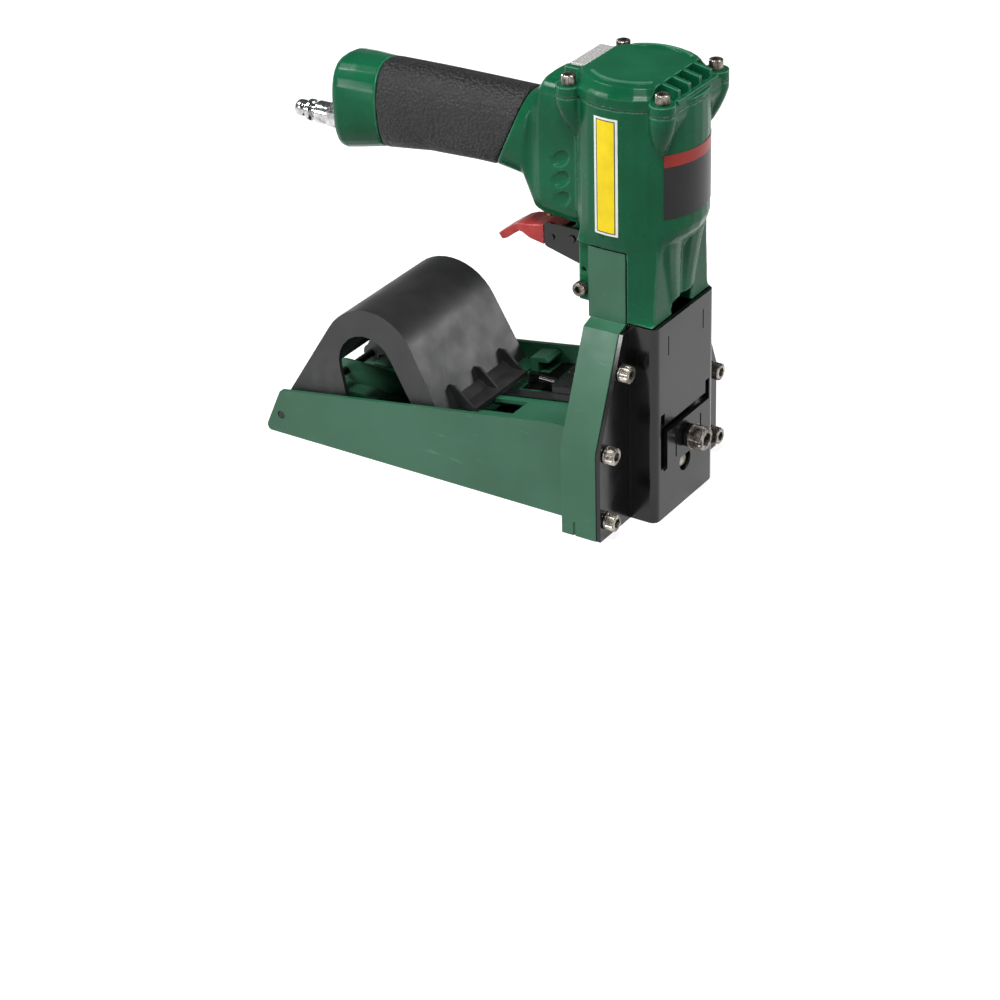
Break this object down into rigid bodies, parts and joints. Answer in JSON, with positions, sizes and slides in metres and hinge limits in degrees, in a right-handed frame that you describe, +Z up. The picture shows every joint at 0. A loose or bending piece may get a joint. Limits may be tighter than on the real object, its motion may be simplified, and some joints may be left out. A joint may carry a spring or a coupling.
{
  "type": "carton closing stapler",
  "caption": "Air driven roll fed stapler for closing carton tops, with swinging clinch anvils, an open roll cover and a pistol handle.",
  "frame": {"origin": "bottom of the nose, midway between the two columns, in the plane between the front plate's flanges and the columns", "axes": "+X across the tool, +Y from the nose back along the magazine and handle, +Z up along the cylinder"},
  "size_m": [0.124, 0.2562, 0.2442],
  "materials": {
    "green_paint": "dark green gloss paint on cast and folded metal",
    "black_paint": "black oxide and satin black paint",
    "black_plastic": "satin black moulded plastic",
    "black_rubber": "matt black rubber, fine leather grain on the grip",
    "red_plastic": "red plastic, slightly worn",
    "bright_steel": "plated steel",
    "tool_steel": "ground hardened steel",
    "brass": "machined brass",
    "aluminium": "bare cast and turned aluminium"
  },
  "bodies": {
    "tool_body": {"main_frame": "green_paint", "front_plate": "black_paint", "flange_screw_1": "bright_steel", "spring_washer_1": "bright_steel", "flange_screw_2": "bright_steel", "spring_washer_2": "bright_steel", "flange_screw_3": "bright_steel", "spring_washer_3": "bright_steel", "flange_screw_4": "bright_steel", "spring_washer_4": "bright_steel", "flange_screw_5": "bright_steel", "spring_washer_5": "bright_steel", "flange_screw_6": "bright_steel", "spring_washer_6": "bright_steel", "driver_guide_front": "tool_steel", "driver_guide_rear": "tool_steel", "anvil_pin_right": "bright_steel", "anvil_pin_left": "bright_steel", "body_housing": "green_paint", "grip_sleeve": "black_rubber", "handle_end_cap": "green_paint", "air_plug": "bright_steel", "cap_gasket": "black_rubber", "cylinder_cap": "green_paint", "cap_plate": "aluminium", "cap_screw_1": "bright_steel", "cap_screw_2": "bright_steel", "cap_screw_3": "bright_steel", "cap_screw_4": "bright_steel", "cylinder_liner": "aluminium", "piston_bumper": "black_rubber", "valve_body": "brass", "trigger_pin": "bright_steel", "side_screw_right": "bright_steel", "side_screw_left": "bright_steel", "magazine_tray": "green_paint", "roll_guide": "green_paint", "staple_track": "black_paint", "cover_hinge_pin": "bright_steel", "catch_pin": "bright_steel"},
    "trigger": {"trigger_arm": "black_paint", "finger_lever": "red_plastic", "lever_rivet": "bright_steel"},
    "valve_stem": {"valve_stem": "brass"},
    "driver": {"main_piston": "aluminium", "piston_ring": "black_rubber", "driver_blade": "tool_steel"},
    "anvil_right": {"anvil_right": "tool_steel"},
    "anvil_left": {"anvil_left": "tool_steel"},
    "head_valve": {"head_valve": "black_plastic"},
    "feed_slide": {"feed_slide": "black_paint"},
    "roll_cover": {"roll_cover": "black_plastic"},
    "cover_catch": {"cover_catch": "green_paint"},
    "adjuster_screw": {"adjuster_screw": "bright_steel"},
    "lock_nut": {"lock_nut": "black_paint"}
  },
  "joints": [
    {"name": "trigger_hinge", "type": "hinge", "parent": "tool_body", "child": "trigger", "pos_m": [0, 0.0446, 0.1427], "axis": [1, 0, 0], "range_deg": [0, 8], "stiffness_Nm_per_rad": 0.4},
    {"name": "valve_stem_slide", "type": "slide", "parent": "tool_body", "child": "valve_stem", "axis": [0, 0, 1], "range_m": [0, 0.003]},
    {"name": "driver_slide", "type": "slide", "parent": "tool_body", "child": "driver", "axis": [0, 0, -1], "range_m": [0, 0.04]},
    {"name": "anvil_right_hinge", "type": "hinge", "parent": "tool_body", "child": "anvil_right", "pos_m": [0.02, 0.0026, 0.016], "axis": [0, 1, 0], "range_deg": [0, 96]},
    {"name": "anvil_left_hinge", "type": "hinge", "parent": "tool_body", "child": "anvil_left", "pos_m": [-0.02, 0.0026, 0.016], "axis": [0, -1, 0], "range_deg": [0, 96]},
    {"name": "head_valve_slide", "type": "slide", "parent": "tool_body", "child": "head_valve", "axis": [0, 0, 1], "range_m": [0, 0.004]},
    {"name": "feed_slide_slide", "type": "slide", "parent": "tool_body", "child": "feed_slide", "axis": [0, 0.9884, -0.1516], "range_m": [0, 0.012], "stiffness_N_per_m": 200, "springref_m": -0.006},
    {"name": "cover_hinge", "type": "hinge", "parent": "tool_body", "child": "roll_cover", "pos_m": [0, 0.214, 0.0115], "axis": [-1, 0, 0], "range_deg": [0, 100]},
    {"name": "cover_catch_hinge", "type": "hinge", "parent": "tool_body", "child": "cover_catch", "pos_m": [0.0372, 0.0955, 0.0291], "axis": [-1, 0, 0], "range_deg": [0, 16], "stiffness_Nm_per_rad": 0.03, "springref_deg": -5.73},
    {"name": "adjuster_turn", "type": "hinge", "parent": "tool_body", "child": "adjuster_screw", "pos_m": [0, -0.025, 0.0404], "axis": [0, -1, 0], "continuous": true},
    {"name": "lock_nut_turn", "type": "hinge", "parent": "tool_body", "child": "lock_nut", "pos_m": [0, -0.0216, 0.0404], "axis": [0, -1, 0], "continuous": true}
  ],
  "couplings": [
    {"joint": "valve_stem_slide", "follows": "trigger_hinge", "m_per_rad": 0.0208},
    {"joint": "anvil_right_hinge", "follows": "driver_slide", "rad_per_m": 41.45},
    {"joint": "anvil_left_hinge", "follows": "driver_slide", "rad_per_m": 41.45}
  ]
}
